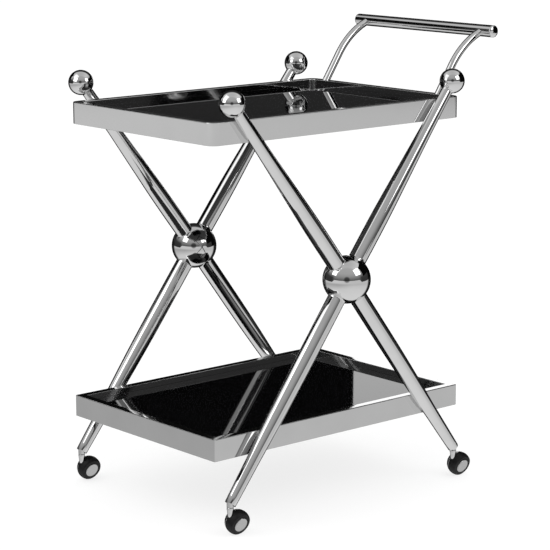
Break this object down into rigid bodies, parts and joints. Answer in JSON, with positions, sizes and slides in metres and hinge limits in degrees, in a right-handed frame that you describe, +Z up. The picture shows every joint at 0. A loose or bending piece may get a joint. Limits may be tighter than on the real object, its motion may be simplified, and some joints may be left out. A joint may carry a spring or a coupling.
{
  "type": "spa trolley",
  "caption": "Chrome rolling trolley: two glass trays in bands on X-shaped tube frames with ball joints, a raised bar handle and tilted-wheel ball casters.",
  "frame": {"origin": "bottom centre of the bounding box, on the floor under the trolley", "axes": "+Z up; +X towards the handle end, the rear; +Y to the right side of a trolley facing forward, so the left side frame is at -Y"},
  "size_m": [0.7858, 0.579, 0.9372],
  "materials": {
    "chrome": "polished chrome plate",
    "black_glass": "polished black glass, opaque",
    "steel": "zinc-plated steel",
    "tyre_rubber": "black rubber",
    "core_plastic": "moulded black nylon",
    "satin_cap": "satin silver disc"
  },
  "bodies": {
    "frame": {"finial_ball_front_left": "chrome", "finial_ball_front_right": "chrome", "finial_ball_rear_left": "chrome", "finial_ball_rear_right": "chrome", "handle_arm_left": "chrome", "handle_arm_right": "chrome", "handle_bar": "chrome", "handle_bolt_left": "steel", "handle_bolt_right": "steel", "handle_cap_left": "chrome", "handle_cap_right": "chrome", "hub_ball_left": "chrome", "hub_ball_right": "chrome", "leg_socket_front_left": "chrome", "leg_socket_front_right": "chrome", "leg_socket_rear_left": "chrome", "leg_socket_rear_right": "chrome", "lower_leg_front_left": "chrome", "lower_leg_front_right": "chrome", "lower_leg_rear_left": "chrome", "lower_leg_rear_right": "chrome", "lower_tray_band": "chrome", "lower_tray_glass": "black_glass", "tray_bolt_lower_front_left": "steel", "tray_bolt_lower_front_right": "steel", "tray_bolt_lower_rear_left": "steel", "tray_bolt_lower_rear_right": "steel", "tray_bolt_upper_front_left": "steel", "tray_bolt_upper_front_right": "steel", "tray_bolt_upper_rear_left": "steel", "tray_bolt_upper_rear_right": "steel", "upper_leg_front_left": "chrome", "upper_leg_front_right": "chrome", "upper_leg_rear_left": "chrome", "upper_leg_rear_right": "chrome", "upper_tray_band": "chrome", "upper_tray_glass": "black_glass"},
    "caster_front_left": {"caster_hood_front_left": "chrome", "axle_front_left": "steel"},
    "wheel_front_left": {"wheel_core_front_left": "core_plastic", "tyre_front_left": "tyre_rubber", "hub_cap_front_left": "satin_cap"},
    "caster_front_right": {"caster_hood_front_right": "chrome", "axle_front_right": "steel"},
    "wheel_front_right": {"wheel_core_front_right": "core_plastic", "tyre_front_right": "tyre_rubber", "hub_cap_front_right": "satin_cap"},
    "caster_rear_left": {"caster_hood_rear_left": "chrome", "axle_rear_left": "steel"},
    "wheel_rear_left": {"wheel_core_rear_left": "core_plastic", "tyre_rear_left": "tyre_rubber", "hub_cap_rear_left": "satin_cap"},
    "caster_rear_right": {"caster_hood_rear_right": "chrome", "axle_rear_right": "steel"},
    "wheel_rear_right": {"wheel_core_rear_right": "core_plastic", "tyre_rear_right": "tyre_rubber", "hub_cap_rear_right": "satin_cap"}
  },
  "joints": [
    {"name": "swivel_front_left", "type": "hinge", "parent": "frame", "child": "caster_front_left", "pos_m": [-0.36845, -0.244, 0.0578], "axis": [0, 0, 1], "continuous": true},
    {"name": "roll_front_left", "type": "hinge", "parent": "caster_front_left", "child": "wheel_front_left", "pos_m": [-0.35045, -0.244, 0.025], "axis": [0, -0.9455, -0.3256], "continuous": true},
    {"name": "swivel_front_right", "type": "hinge", "parent": "frame", "child": "caster_front_right", "pos_m": [-0.36845, 0.244, 0.0578], "axis": [0, 0, 1], "continuous": true},
    {"name": "roll_front_right", "type": "hinge", "parent": "caster_front_right", "child": "wheel_front_right", "pos_m": [-0.35045, 0.244, 0.025], "axis": [0, -0.9455, -0.3256], "continuous": true},
    {"name": "swivel_rear_left", "type": "hinge", "parent": "frame", "child": "caster_rear_left", "pos_m": [0.23875, -0.244, 0.0578], "axis": [0, 0, 1], "continuous": true},
    {"name": "roll_rear_left", "type": "hinge", "parent": "caster_rear_left", "child": "wheel_rear_left", "pos_m": [0.25675, -0.244, 0.025], "axis": [0, -0.9455, -0.3256], "continuous": true},
    {"name": "swivel_rear_right", "type": "hinge", "parent": "frame", "child": "caster_rear_right", "pos_m": [0.23875, 0.244, 0.0578], "axis": [0, 0, 1], "continuous": true},
    {"name": "roll_rear_right", "type": "hinge", "parent": "caster_rear_right", "child": "wheel_rear_right", "pos_m": [0.25675, 0.244, 0.025], "axis": [0, -0.9455, -0.3256], "continuous": true}
  ]
}
